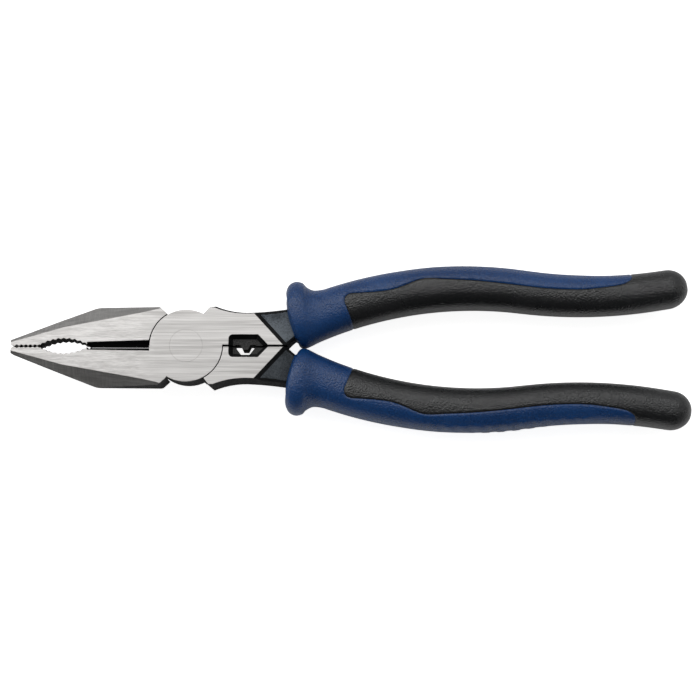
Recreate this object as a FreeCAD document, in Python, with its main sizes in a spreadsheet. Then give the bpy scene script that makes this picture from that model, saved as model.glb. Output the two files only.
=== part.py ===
"""Combination side-cutting pliers with a crimping die behind the joint.

The pivot axis is +Z through the origin, and the head's lower ground face lies in
the plane Z = 0.  The jaws point along -X and the handles along +X.  Lengths are
in millimetres, angles in degrees.

Every piece is drawn about the head's middle plane: each half with its jaw on the
-Y side, its lap disc on the +Z side and its handle on the +Y side.  The nest half
and the lower grip are then turned half a turn about X, so that the jaws close on
each other, and every piece is raised by half the head's thickness.
"""
import FreeCAD, Part
import os

import Sketcher

SIZES = [
    # name, value, what it is
    ("head_thick", 12.0, "thickness across the two ground faces of the head"),
    ("disc_radius", 11.5, "lap disc of each half"),
    ("recess_radius", 11.8, "recess that the other half's disc turns in"),
    ("lap_gap", 0.04, "gap between the two lap discs"),
    ("jaw_gap", 0.08, "gap between the closed jaws' faces"),
    ("jaw_length", 56.2, "pivot to jaw tip"),
    ("jaw_width", 12.85, "closing plane to the jaw's outer side, at its widest"),
    ("jaw_corner", 28.8, "pivot to the corner where the nose starts to narrow"),
    ("jaw_corner_round", 6.0, "radius of that corner"),
    ("heel_width", 12.4, "closing plane to the jaw's outer side, beside the joint"),
    ("heel_round", 1.2, "radius of the jaw's corner beside the joint"),
    ("tip_width", 2.1, "half width of the nose at its tip"),
    ("tip_thick", 6.0, "thickness of the nose at its tip"),
    ("tip_slant", 0.93, "tip to where its corner leaves the closing face"),
    ("tip_blunt", 0.23, "tip to where that slanted corner ends"),
    ("tip_chamfer", 0.5, "depth of that corner below the closing plane"),
    ("taper_start", 11.9, "pivot to the crease where the jaws start to thin"),
    ("taper_round", 60.0, "radius that blends the crease"),
    ("heel_x", 6.3, "inner end of the slope behind the jaw's heel"),
    ("heel_y", 10.4, "inner end of the slope behind the jaw's heel"),
    ("heel_back", 2.2, "length of that slope along X"),
    ("shoulder_x", 4.6, "inner end of the slope in front of the handle's shoulder"),
    ("shoulder_y", 10.1, "inner end of the slope in front of the handle's shoulder"),
    ("shoulder_slope", 40.2, "angle of that slope against the closing plane"),
    ("shoulder_relief", 2.2, "how far the nest half's slope is set back beside its disc"),
    ("bevel_start", 6.5, "pivot to where the bevel would run out at the joint"),
    ("bevel_turn", 14.9, "angle between the bevel's level lines and the closing plane"),
    ("bevel_angle", 40.0, "slope of the side bevels against the face"),
    ("tip_flat", 1.3, "half width of the face at the tip, between the nose bevels"),
    ("nose_bevel_turn", 19.9, "angle between their level lines and the closing plane"),
    ("nose_bevel_length", 22.0, "tip to where the nose bevel is inside the side bevel"),
    ("nose_pitch", 1.46, "pitch of the nose serrations"),
    ("nose_relief", 0.13, "how far the nose's closing face stands back"),
    ("nose_depth", 0.42, "depth of the nose serrations below that"),
    ("nose_first", 54.05, "pivot to the serration nearest the tip"),
    ("nose_count", 6, "serrations in each nose half"),
    ("oval_x", 38.95, "pivot to the centre of the pipe grip"),
    ("oval_half", 7.97, "half length of the pipe grip"),
    ("oval_depth", 2.2, "depth of the pipe grip in each jaw"),
    ("tooth_depth", 0.42, "depth of the pipe grip's teeth"),
    ("tooth_step", 6.5, "angle between the pipe grip's teeth"),
    ("tooth_count", 9, "teeth in each half of the pipe grip"),
    ("slot_outer", 31.5, "pivot to the cutter slot's outer end"),
    ("slot_inner", 11.6, "pivot to the cutter slot's inner end"),
    ("slot_wide", 1.7, "half width of the slot beside the joint, at the face"),
    ("slot_narrow", 1.3, "half width of the slot at its outer end, at the face"),
    ("slot_draft", 0.3, "lean of the slot's wall"),
    ("knife_height", 1.2, "height of the knife wedge above its edge"),
    ("handle_gap", 0.62, "gap between the handles' closing faces"),
    ("crown_front", 6.6, "front of the handle's forged shoulder, before its slope is cut"),
    ("crown_back", 8.9, "where the hollow flank starts"),
    ("crown_y", 13.6, "height of both above the closing plane"),
    ("flank_low_x", 19.5, "lowest place of the handle's hollow flank"),
    ("flank_low_y", 11.6, "lowest place of the handle's hollow flank"),
    ("flank_radius", 26.0, "radius of the hollow flank in front of that place"),
    ("flank_back_radius", 104.0, "radius of the hollow flank behind that place"),
    ("swell_x", 30.9, "where the flank ends and the handle turns outwards"),
    ("flank_draft", 12.5, "forging draft of the flank"),
    ("ground_end_x", 21.7, "outer end of the ground face's slanted edge"),
    ("ground_end_y", 10.1, "outer end of the ground face's slanted edge"),
    ("ground_slant", 47.5, "slope of that edge against the closing plane"),
    ("ground_step", 1.0, "drop from the ground face to the forged tang"),
    ("ground_draft", 52.0, "lean of the step's wall"),
    ("window_front", 13.45, "pivot to the front of the crimp window"),
    ("window_back", 22.8, "pivot to the window's back corner"),
    ("window_apex", 26.25, "pivot to the window's apex on the closing plane"),
    ("window_half", 3.62, "half height of the window at the face"),
    ("window_round", 1.4, "radius of the window's front corners"),
    ("window_draft", 28.0, "lean of the window's walls"),
    ("die_thick", 7.2, "thickness left between the two window recesses"),
    ("die_x", 18.65, "pivot to the centre of the crimping die"),
    ("nest_mouth", 6.6, "width of the nest at the closing plane"),
    ("nest_floor", 2.55, "width of the nest's floor"),
    ("nest_depth", 2.68, "depth of the nest"),
    ("indenter_setback", 0.6, "shoulders beside the indenter"),
    ("indenter_base", 3.2, "width of the indenter at its shoulders"),
    ("indenter_tip", 1.6, "width of the indenter's tip"),
    ("indenter_reach", 1.0, "how far the indenter crosses the closing plane"),
    ("rivet_radius", 4.0, "rivet shank"),
    ("rivet_head_radius", 5.2, "rivet head where it is ground flush"),
    ("rivet_head_depth", 1.5, "countersink depth"),
    ("rivet_clearance", 0.05, "running clearance in the indenter half"),
    ("side_round", 1.3, "radius along the forged edges in front of the grip"),
    ("block_end", 37.0, "pivot to the end of the drafted part of the handle"),
    ("block_rise", 1.2, "rise of its outer side behind the flank"),
    ("root_overlap", 2.0, "length of the tang inside the drafted part"),
    ("root_inner_slant", 0.9, "rise of the tang's inner side over twice that length"),
    ("tang_root_inner", 4.6, "inner side of the tang where it leaves that part"),
    ("tang_root_outer", 12.0, "outer side of the tang there"),
    ("tang_thick", 10.0, "thickness of the tang"),
    ("tang_half", 3.6, "half width of the tang inside the grip"),
    ("tang_swell", 1.0, "rise of the flank from its lowest place to there"),
    ("tang_round", 1.8, "radius along the tang's edges"),
    ("split_x", 31.9, "where the tangs start to part"),
    ("split_reach", 8.0, "length along X of their parting faces"),
    ("split_angle", 40.0, "angle at which their inner faces part"),
    ("neck_x", 42.0, "middle of the grip's neck, behind the flange"),
    ("bend_x", 48.0, "start of the handle's bow"),
    ("bend_y", 12.65, "handle axis at the start of the bow"),
    ("bend_angle", 18.8, "heading of the handle there"),
    ("waist_x", 107.3, "where the handle's bow turns back"),
    ("waist_angle", -7.5, "heading of the handle there"),
    ("tang_end_x", 150.0, "end of the tang"),
    ("tang_end_angle", 8.7, "heading of the handle there"),
    ("grip_wide", 15.0, "grip width at the start of the bow"),
    ("grip_narrow", 12.5, "grip width at the end of the tang"),
    ("grip_deep", 16.0, "grip thickness at the start of the bow"),
    ("grip_shallow", 13.4, "grip thickness at the end of the tang"),
    ("grip_round", 5.2, "corner radius of the grip's section"),
    ("grip_dome", 6.2, "radius of the grip's rounded end"),
    ("grip_end_x", 154.2, "centre of that rounded end"),
    ("neck_wide", 16.0, "grip width at the neck"),
    ("flange_tilt", 14.5, "lean of the flange against the YZ plane"),
    ("flange_x", 36.9, "centre of the flange's widest section"),
    ("flange_y", 10.8, "centre of the flange's widest section"),
    ("flange_wide", 21.8, "width of the flange"),
    ("flange_deep", 19.0, "thickness of the flange"),
    ("flange_gap", 0.2, "gap between the flats where the two flanges meet"),
    ("flange_round", 8.0, "corner radius of the flange"),
    ("flange_front", 4.6, "widest section to the flange's front face"),
    ("liner_wall", 1.0, "wall of the grip's core around the tang"),
    ("liner_front", 44.0, "front of that wall"),
    ("core_root_x", 56.0, "front of the core, on the handle's inner side"),
    ("core_front_x", 50.2, "foremost place of the core"),
    ("core_front_y", 13.6, "foremost place of the core"),
    ("core_brow_x", 52.2, "where the core's front corner ends"),
    ("core_brow_y", 16.7, "where the core's front corner ends"),
    ("core_brow_round", 2.2, "radius of that corner"),
    ("core_rise_x", 65.0, "where the core starts to swell"),
    ("core_rise_y", 17.8, "where the core starts to swell"),
    ("core_swell_x", 71.5, "end of that bend"),
    ("core_swell_y", 20.4, "end of that bend"),
    ("core_swell_round", 16.0, "radius of that bend"),
    ("core_peak_x", 75.0, "start of the core's widest place"),
    ("core_peak_y", 21.7, "start of the core's widest place"),
    ("core_fall_x", 78.0, "end of the core's widest place"),
    ("core_peak_round", 3.5, "radius between the two"),
    ("core_bow_x", 92.0, "start of the long hollow"),
    ("core_bow_y", 21.05, "start of the long hollow"),
    ("core_tail_x", 136.0, "end of the long hollow"),
    ("core_tail_y", 19.7, "end of the long hollow"),
    ("core_bow_round", 150.0, "radius of the long hollow"),
    ("core_cap_x", 142.0, "front of the end cap, on the handle's outer side"),
    ("core_cap_y", 24.0, "end of the bend into the end cap"),
    ("core_cap_round", 8.0, "radius of that bend"),
]

doc = FreeCAD.newDocument("pliers")
sheet = doc.addObject("Spreadsheet::Sheet", "size")


def fill_sheet():
    for row, (name, value, note) in enumerate(SIZES, start=1):
        sheet.set(f"A{row}", name)
        sheet.set(f"B{row}", str(value))
        sheet.set(f"C{row}", note)
        sheet.setAlias(f"B{row}", name)
    doc.recompute()


def number(expression):
    """The value that an expression on the sheet has now."""
    result = sheet.evalExpression(expression)
    return float(getattr(result, "Value", result))


# ---------------------------------------------------------------- sketch tools

def origin_feature(body, role):
    return next(f for f in body.Origin.OriginFeatures if f.Role == role)


def new_sketch(body, name, plane, at=("0", "0", "0"), turn_axis=None, turn="0"):
    """A sketch on one of the body's own origin planes.

    at is the sketch's origin in the plane's own axes, and turn is its rotation
    about turn_axis, also in those axes.
    """
    sketch = body.newObject("Sketcher::SketchObject", name)
    sketch.AttachmentSupport = [(origin_feature(body, plane), "")]
    sketch.MapMode = "FlatFace"
    if turn_axis is not None:
        sketch.AttachmentOffset = FreeCAD.Placement(
            FreeCAD.Vector(0, 0, 0), FreeCAD.Rotation(turn_axis, 1)
        )
        sketch.setExpression("AttachmentOffset.Rotation.Angle", turn)
    for axis, expression in zip("xyz", at):
        if expression != "0":
            sketch.setExpression(f"AttachmentOffset.Base.{axis}", expression)
    return sketch


def bind(sketch, index, expression):
    sketch.setExpression(f"Constraints[{index}]", expression)


def place_point(sketch, geometry, end, x, y):
    """Fix one end of a line or arc at a place that the sheet gives."""
    for kind, expression in (("DistanceX", x), ("DistanceY", y)):
        value = number(expression)
        index = sketch.addConstraint(Sketcher.Constraint(kind, -1, 1, geometry, end, value))
        bind(sketch, index, expression)


def arc_between(start, finish, radius, left_turn):
    """The short arc from start to finish that curves to the left or the right."""
    chord = finish - start
    outward = FreeCAD.Vector(chord.y, -chord.x, 0).normalize()
    if not left_turn:
        outward = outward * -1
    rise = radius - (radius**2 - (chord.Length / 2) ** 2) ** 0.5
    return Part.Arc(start, (start + finish) * 0.5 + outward * rise, finish)


def arrives_with(sketch, index, finish):
    """Which end of a stretch, 1 or 2, lies on the corner it arrives at.

    A sketch stores every arc counter-clockwise, so an arc that curves to the
    right ends with its point 1.
    """
    end = sketch.getPoint(index, 2)
    return 2 if end.distanceToPoint(finish) < 1e-6 else 1


def outline(sketch, corners):
    """A closed outline through corners, each (x, y) or (x, y, radius, "left"/"right").

    A radius makes the stretch that arrives at its corner an arc.
    """
    places = [FreeCAD.Vector(number(c[0]), number(c[1]), 0) for c in corners]
    for i, corner in enumerate(corners):
        start, finish = places[i - 1], places[i]
        if len(corner) == 2:
            sketch.addGeometry(Part.LineSegment(start, finish), False)
        else:
            radius, way = corner[2:]
            sketch.addGeometry(arc_between(start, finish, number(radius), way == "left"), False)
    ends = [arrives_with(sketch, i, place) for i, place in enumerate(places)]
    for i, corner in enumerate(corners):
        following = (i + 1) % len(corners)
        sketch.addConstraint(
            Sketcher.Constraint("Coincident", i, ends[i], following, 3 - ends[following])
        )
        place_point(sketch, i, ends[i], corner[0], corner[1])
    for i, corner in enumerate(corners):
        if len(corner) > 2:
            index = sketch.addConstraint(Sketcher.Constraint("Radius", i, number(corner[2])))
            bind(sketch, index, corner[2])


def circle(sketch, radius):
    centre = FreeCAD.Vector(0, 0, 0)
    axis = FreeCAD.Vector(0, 0, 1)
    sketch.addGeometry(Part.Circle(centre, axis, number(radius)), False)
    sketch.addConstraint(Sketcher.Constraint("Coincident", 0, 3, -1, 1))
    bind(sketch, sketch.addConstraint(Sketcher.Constraint("Radius", 0, number(radius))), radius)


def rounded_box(sketch, width, depth, radius):
    """A rectangle with rounded corners, centred on the sketch's origin."""
    side_x = f"(({width}) / 2)"
    side_y = f"(({depth}) / 2)"
    flat_x = f"({side_x} - ({radius}))"
    flat_y = f"({side_y} - ({radius}))"
    outline(sketch, [
        (flat_x, f"-{side_y}"),
        (side_x, f"-{flat_y}", radius, "left"),
        (side_x, flat_y),
        (flat_x, side_y, radius, "left"),
        (f"-{flat_x}", side_y),
        (f"-{side_x}", flat_y, radius, "left"),
        (f"-{side_x}", f"-{flat_y}"),
        (f"-{flat_x}", f"-{side_y}", radius, "left"),
    ])


# --------------------------------------------------------------- feature tools

def new_body(label):
    body = doc.addObject("PartDesign::Body", label)
    body.Label = label
    return body


def extrude(body, kind, name, sketch, length, both_ways=False, draft=None):
    feature = body.newObject(kind, name)
    feature.Profile = sketch
    feature.SideType = "Symmetric" if both_ways else "One side"
    feature.setExpression("Length", length)
    if draft is not None:
        feature.setExpression("TaperAngle", draft)
    doc.recompute()
    return feature


def grow(body, name, sketch, length, both_ways=False, draft=None):
    return extrude(body, "PartDesign::Pad", name, sketch, length, both_ways, draft)


def cut(body, name, sketch, length, both_ways=False, draft=None):
    before = body.Shape.Volume
    pocket = extrude(body, "PartDesign::Pocket", name, sketch, length, both_ways, draft)
    must_shrink(body, name, before)
    return pocket


def must_shrink(body, name, before):
    if not body.Shape.Volume < before - 1e-6:
        raise RuntimeError(f"{body.Label}: {name} removes nothing")


def repeat(body, kind, feature, **settings):
    """A pattern or a mirror of one cut."""
    before = body.Shape.Volume
    pattern = body.newObject(kind, feature.Name + "_repeat")
    pattern.Originals = [feature]
    for name, value in settings.items():
        if isinstance(value, str):
            pattern.setExpression(name, value)
        else:
            setattr(pattern, name, value)
    body.Tip = pattern
    doc.recompute()
    must_shrink(body, pattern.Name, before)
    return pattern


def mirror_in_z(body, feature):
    return repeat(
        body, "PartDesign::Mirrored", feature,
        MirrorPlane=(origin_feature(body, "XY_Plane"), [""]),
    )


def round_edges(body, name, base, radius, chosen):
    """Round the edges of base whose middle satisfies chosen."""
    before = body.Shape.Volume
    fillet = body.newObject("PartDesign::Fillet", name)
    edges = [
        f"Edge{i}" for i, edge in enumerate(base.Shape.Edges, start=1)
        if chosen(edge.CenterOfMass)
    ]
    fillet.Base = (base, edges)
    fillet.setExpression("Radius", radius)
    doc.recompute()
    must_shrink(body, name, before)
    return fillet


# ------------------------------------------------------------- the handle axis
# The handle's axis runs straight to the bow, bows inwards along one arc to the
# waist and turns outwards again along a second arc.  A place on an arc is named
# by the heading of the axis there.

BOW_RADIUS = "((size.waist_x - size.bend_x) / (sin(size.bend_angle) - sin(size.waist_angle)))"
TAIL_RADIUS = (
    "((size.tang_end_x - size.waist_x) / (sin(size.tang_end_angle) - sin(size.waist_angle)))"
)


def on_bow(heading):
    x = f"(size.bend_x + {BOW_RADIUS} * (sin(size.bend_angle) - sin({heading})))"
    y = f"(size.bend_y + {BOW_RADIUS} * (cos({heading}) - cos(size.bend_angle)))"
    return x, y, heading


def on_tail(heading):
    waist_y = on_bow("size.waist_angle")[1]
    x = f"(size.waist_x + {TAIL_RADIUS} * (sin({heading}) - sin(size.waist_angle)))"
    y = f"({waist_y} + {TAIL_RADIUS} * (cos(size.waist_angle) - cos({heading})))"
    return x, y, heading


def before_bow(x):
    y = f"(size.bend_y - (size.bend_x - ({x})) * tan(size.bend_angle))"
    return x, y, "size.bend_angle"


def beyond_tail(x):
    end_x, end_y, heading = on_tail("size.tang_end_angle")
    return x, f"({end_y} + ({x} - size.tang_end_x) * tan({heading}))", heading


def beside(place, distance):
    """The point at a distance to the outer side of a place on the axis."""
    x, y, heading = place
    return f"({x} - ({distance}) * sin({heading}))", f"({y} + ({distance}) * cos({heading}))"


def section(body, name, place, width, depth, radius):
    """A rounded section square to the handle's axis at a place."""
    x, y, heading = place
    sketch = new_sketch(
        body, name, "YZ_Plane", at=(y, "0", x), turn_axis=FreeCAD.Vector(0, 1, 0), turn=heading
    )
    rounded_box(sketch, width, depth, radius)
    return sketch


def loft(body, kind, name, sections, ruled=False):
    feature = body.newObject(kind, name)
    feature.Profile = sections[0]
    feature.Sections = sections[1:]
    feature.Ruled = ruled
    doc.recompute()
    return feature


# ------------------------------------------------------------- the forged half

FACE = "(size.head_thick / 2)"
THROUGH = "size.head_thick * 2"
BEYOND = "2"  # how far a cutting outline runs past the material


def add_tang(body):
    """The forged tang that the grip sits on, with rounded edges."""
    bend = on_bow("size.bend_angle")
    waist = on_bow("size.waist_angle")
    end = on_tail("size.tang_end_angle")
    half = "size.tang_half"
    root_x = "size.block_end - size.root_overlap"
    sketch = new_sketch(body, "tang_outline", "XY_Plane")
    outline(sketch, [
        (root_x, "size.tang_root_inner"),
        (f"{root_x} + 2 * size.root_overlap", "size.tang_root_inner + size.root_inner_slant"),
        beside(bend, f"-{half}"),
        (*beside(waist, f"-{half}"), f"{BOW_RADIUS} - {half}", "right"),
        (*beside(end, f"-{half}"), f"{TAIL_RADIUS} + {half}", "left"),
        beside(end, half),
        (*beside(waist, half), f"{TAIL_RADIUS} - {half}", "right"),
        (*beside(bend, half), f"{BOW_RADIUS} + {half}", "left"),
        (root_x, "size.tang_root_outer"),
    ])
    pad = grow(body, "tang", sketch, "size.tang_thick", both_ways=True)
    rim = number("size.tang_thick / 2")
    round_edges(
        body, "tang_edges", pad, "size.tang_round",
        lambda middle: abs(abs(middle.z) - rim) < 1e-6,
    )


def add_handle_block(body):
    """The drafted part of the handle between the joint and the grip."""
    sketch = new_sketch(body, "handle_outline", "XY_Plane")
    outline(sketch, [
        ("0", f"-{BEYOND}"),
        ("size.block_end", f"-{BEYOND}"),
        ("size.block_end", "size.flank_low_y + size.tang_swell + size.block_rise"),
        ("size.swell_x", "size.flank_low_y + size.tang_swell"),
        ("size.flank_low_x", "size.flank_low_y", "size.flank_back_radius", "right"),
        ("size.crown_back", "size.crown_y", "size.flank_radius", "right"),
        ("size.crown_front", "size.crown_y"),
        ("0", "size.shoulder_y / 2"),
    ])
    grow(body, "handle", sketch, "size.head_thick", both_ways=True, draft="-size.flank_draft")
    closing = new_sketch(body, "handle_closing_outline", "XY_Plane")
    parted = "size.handle_gap / 2 + size.split_reach * tan(size.split_angle)"
    outline(closing, [
        (f"-{BEYOND}", f"-2 * {BEYOND}"),
        ("size.split_x + size.split_reach", f"-2 * {BEYOND}"),
        ("size.split_x + size.split_reach", parted),
        ("size.split_x", "size.handle_gap / 2"),
        (f"-{BEYOND}", "size.handle_gap / 2"),
    ])
    cut(body, "handle_closing_face", closing, THROUGH, both_ways=True)


def add_ground_step(body):
    """The sloped step where the ground face ends, and the tang's rounded edges there."""
    up, down, across = "6", "16", "18"
    near_x = f"size.ground_end_x - {up} * cos(size.ground_slant)"
    near_y = f"size.ground_end_y + {up} * sin(size.ground_slant)"
    far_x = f"size.ground_end_x + {down} * cos(size.ground_slant)"
    far_y = f"size.ground_end_y - {down} * sin(size.ground_slant)"
    over_x = f"{across} * sin(size.ground_slant)"
    over_y = f"{across} * cos(size.ground_slant)"
    sketch = new_sketch(body, "ground_edge", "XY_Plane", at=("0", "0", FACE))
    outline(sketch, [
        (near_x, near_y),
        (far_x, far_y),
        (f"{far_x} + {over_x}", f"{far_y} + {over_y}"),
        (f"{near_x} + {over_x}", f"{near_y} + {over_y}"),
    ])
    step = cut(body, "ground_step", sketch, "size.ground_step", draft="-size.ground_draft")
    both = mirror_in_z(body, step)
    floor = number(f"{FACE} - size.ground_step")
    outer = number("size.flank_low_y - size.side_round")
    inner = number("size.handle_gap / 2 + (size.block_end - size.split_x) / 2")
    in_grip = number("size.block_end - size.tang_round / 3")

    def along_the_tang(middle):
        beside_step = middle.y > outer or middle.y < inner
        return abs(abs(middle.z) - floor) < 1e-6 and beside_step and middle.x < in_grip

    round_edges(body, "tang_sides", both, "size.side_round", along_the_tang)


def shoulder_cutter(body, name, set_back="0"):
    """The outline that cuts everything in front of the shoulder's slope."""
    along, across = "8", "6"
    run = (f"{along} * cos(size.shoulder_slope)", f"{along} * sin(size.shoulder_slope)")
    away = (f"{across} * sin(size.shoulder_slope)", f"{across} * cos(size.shoulder_slope)")
    start = (f"size.shoulder_x + {set_back}", "size.shoulder_y")
    end = (f"{start[0]} + {run[0]}", f"{start[1]} + {run[1]}")
    sketch = new_sketch(body, name, "XY_Plane")
    outline(sketch, [
        start,
        end,
        (f"{end[0]} - {away[0]}", f"{end[1]} + {away[1]}"),
        (f"{start[0]} - {away[0]}", f"{start[1]} + {away[1]}"),
    ])
    return sketch


def forge_handle(body):
    add_tang(body)
    add_handle_block(body)
    cut(body, "shoulder", shoulder_cutter(body, "shoulder_outline"), THROUGH, both_ways=True)
    add_ground_step(body)


def add_jaw(body):
    """The jaw, full thickness, from the joint to the squared-off tip."""
    closing = "-size.jaw_gap / 2"
    sketch = new_sketch(body, "jaw_outline", "XY_Plane")
    outline(sketch, [
        ("0", closing),
        ("-(size.jaw_length - size.tip_slant)", closing),
        ("-(size.jaw_length - size.tip_blunt)", "-size.tip_chamfer"),
        ("-size.jaw_length", "-size.tip_width"),
        ("-size.jaw_corner", "-size.jaw_width"),
        ("-(size.heel_x + size.heel_back)", "-size.heel_width"),
        ("-size.heel_x", "-size.heel_y"),
    ])
    jaw = grow(body, "jaw", sketch, "size.head_thick", both_ways=True)
    nose = round_corner(body, "jaw_corner", jaw, "size.jaw_corner", "size.jaw_width",
                        "size.jaw_corner_round")
    round_corner(body, "jaw_heel", nose, "size.heel_x + size.heel_back",
                 "size.heel_width", "size.heel_round")


def round_corner(body, name, base, distance, width, radius):
    """Round the upright edge of the jaw at a distance and a width from the pivot."""
    corner = FreeCAD.Vector(-number(distance), -number(width), 0)
    return round_edges(
        body, name, base, radius, lambda middle: middle.distanceToPoint(corner) < 1e-4
    )


def add_joint(body, clearance):
    """The lap disc, the jaw, the recess for the other disc and the rivet's bore."""
    mating = "size.lap_gap / 2"
    disc = new_sketch(body, "disc_outline", "XY_Plane", at=("0", "0", mating))
    circle(disc, "size.disc_radius")
    grow(body, "lap_disc", disc, f"{FACE} - {mating}")
    add_jaw(body)
    recess = new_sketch(body, "recess_outline", "XY_Plane", at=("0", "0", mating))
    circle(recess, "size.recess_radius")
    cut(body, "lap_recess", recess, "size.head_thick")
    shank = f"size.rivet_radius + {clearance}"
    head = f"size.rivet_head_radius + {clearance}"
    bore = new_sketch(body, "rivet_bore_outline", "XZ_Plane")
    outline(bore, [
        ("0", f"-{BEYOND}"),
        (shank, f"-{BEYOND}"),
        (shank, f"{FACE} - size.rivet_head_depth"),
        (head, FACE),
        (head, f"{FACE} + {BEYOND}"),
        ("0", f"{FACE} + {BEYOND}"),
    ])
    before = body.Shape.Volume
    revolve(body, "PartDesign::Groove", "rivet_bore", bore)
    must_shrink(body, "rivet_bore", before)


def revolve(body, kind, name, sketch):
    feature = body.newObject(kind, name)
    feature.Profile = sketch
    feature.ReferenceAxis = (sketch, ["V_Axis"])
    feature.Angle = 360
    doc.recompute()


def taper_jaw(body):
    """Thin the jaw towards its tip on both faces, with a blended crease."""
    slope = "atan((size.head_thick - size.tip_thick) / 2 / (size.jaw_length - size.taper_start))"
    reach = f"(size.taper_round * tan({slope} / 2))"
    crest_x = f"-(size.taper_start - {reach})"
    tip = f"-(size.jaw_length + {BEYOND})"
    sketch = new_sketch(body, "jaw_taper_outline", "XZ_Plane")
    outline(sketch, [
        (crest_x, FACE),
        (crest_x, f"{FACE} + {BEYOND}"),
        (tip, f"{FACE} + {BEYOND}"),
        (tip, f"size.tip_thick / 2 - {BEYOND} * tan({slope})"),
        (f"-(size.taper_start + {reach} * cos({slope}))", f"{FACE} - {reach} * sin({slope})"),
    ])
    mirror_in_z(body, cut(body, "jaw_taper", sketch, "size.jaw_width * 4", both_ways=True))


def bevel_jaw(body):
    """The broad bevels ground along the jaw's outer side, and a steeper pair at the nose."""
    def bevel(name, at, turn, length, both_ways):
        away = "size.jaw_width"
        sketch = new_sketch(body, name + "_outline", "YZ_Plane", at=at,
                            turn_axis=FreeCAD.Vector(0, 1, 0), turn=turn)
        outline(sketch, [
            (f"{BEYOND} / tan(size.bevel_angle)", BEYOND),
            (f"-{away}", BEYOND),
            (f"-{away}", f"-{away} * tan(size.bevel_angle)"),
        ])
        mirror_in_z(body, cut(body, name, sketch, length, both_ways))

    bevel("bevel", ("-size.heel_width", FACE, "-size.bevel_start"), "-size.bevel_turn",
          "size.jaw_length", False)
    bevel("nose_bevel", ("-size.tip_flat", "size.tip_thick / 2", "-size.jaw_length"),
          "-size.nose_bevel_turn", "2 * size.nose_bevel_length", True)


def cut_slot(body):
    """The cutter slot, which leaves the knife standing along the jaw's closing face."""
    def slot_section(name, x, half_width):
        sketch = new_sketch(body, name, "YZ_Plane", at=("0", "0", f"-{x}"))
        outline(sketch, [
            (BEYOND, f"-{FACE}"),
            (f"-{half_width}", f"-{FACE}"),
            (f"-({half_width} - size.slot_draft)", "-size.knife_height"),
            ("-size.jaw_gap / 2", "0"),
            (f"-({half_width} - size.slot_draft)", "size.knife_height"),
            (f"-{half_width}", FACE),
            (BEYOND, FACE),
        ])
        return sketch

    before = body.Shape.Volume
    ends = [
        slot_section("slot_outer_end", "size.slot_outer", "size.slot_narrow"),
        slot_section("slot_inner_end", "size.slot_inner", "size.slot_wide"),
    ]
    loft(body, "PartDesign::SubtractiveLoft", "cutter_slot", ends, ruled=True)
    must_shrink(body, "cutter_slot", before)


def cut_pipe_grip(body):
    """The toothed oval that grips round work."""
    radius = "((size.oval_half ^ 2 + size.oval_depth ^ 2) / 2 / size.oval_depth)"
    left = "-(size.oval_x + size.oval_half)"
    right = "-(size.oval_x - size.oval_half)"
    sketch = new_sketch(body, "pipe_grip_outline", "XY_Plane")
    outline(sketch, [
        (left, BEYOND),
        (left, "0"),
        (right, "0", radius, "left"),
        (right, BEYOND),
    ])
    cut(body, "pipe_grip", sketch, THROUGH, both_ways=True)
    span = "(size.tooth_step * (size.tooth_count - 1))"
    tooth = new_sketch(
        body, "pipe_tooth_outline", "XY_Plane",
        at=("-size.oval_x", f"{radius} - size.oval_depth", "0"),
        turn_axis=FreeCAD.Vector(0, 0, 1), turn=f"-{span} / 2",
    )
    side = f"{radius} * sin(size.tooth_step / 2)"
    crest = f"-{radius} * cos(size.tooth_step / 2)"
    outline(tooth, [
        (f"-{side}", crest),
        ("0", f"-({radius} + size.tooth_depth)"),
        (side, crest),
    ])
    groove = cut(body, "pipe_tooth", tooth, THROUGH, both_ways=True)
    repeat(
        body, "PartDesign::PolarPattern", groove,
        Axis=(tooth, ["N_Axis"]), Angle=span, Occurrences=int(number("size.tooth_count")),
    )


def cut_nose_teeth(body):
    """The nose's closing face, which stands back a little, and its serrations."""
    behind = "-(size.oval_x + size.oval_half)"
    ahead = f"-(size.jaw_length + {BEYOND})"
    face = new_sketch(body, "nose_face_outline", "XY_Plane")
    outline(face, [
        (behind, "-size.nose_relief"),
        (behind, BEYOND),
        (ahead, BEYOND),
        (ahead, "-size.nose_relief"),
    ])
    cut(body, "nose_face", face, THROUGH, both_ways=True)
    first = new_sketch(body, "nose_tooth_outline", "XY_Plane",
                       at=("-size.nose_first", "-size.nose_relief", "0"))
    outline(first, [
        ("-size.nose_pitch / 2", BEYOND),
        ("-size.nose_pitch / 2", "0"),
        ("0", "-size.nose_depth"),
        ("size.nose_pitch / 2", "0"),
        ("size.nose_pitch / 2", BEYOND),
    ])
    groove = cut(body, "nose_tooth", first, THROUGH, both_ways=True)
    repeat(
        body, "PartDesign::LinearPattern", groove,
        Direction=(origin_feature(body, "X_Axis"), [""]),
        Length="size.nose_pitch * (size.nose_count - 1)",
        Occurrences=int(number("size.nose_count")),
    )


def cut_window(body):
    """Half of the recess around the crimping die, on both faces."""
    round_off = "size.window_round"
    sketch = new_sketch(body, "window_outline", "XY_Plane", at=("0", "0", FACE))
    outline(sketch, [
        ("size.window_front", f"-2 * {BEYOND}"),
        ("size.window_apex", f"-2 * {BEYOND}"),
        ("size.window_apex", "0"),
        ("size.window_back", "size.window_half"),
        (f"size.window_front + {round_off}", "size.window_half"),
        ("size.window_front", f"size.window_half - {round_off}", round_off, "left"),
    ])
    depth = "(size.head_thick - size.die_thick) / 2"
    mirror_in_z(body, cut(body, "window", sketch, depth, draft="-size.window_draft"))


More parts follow.
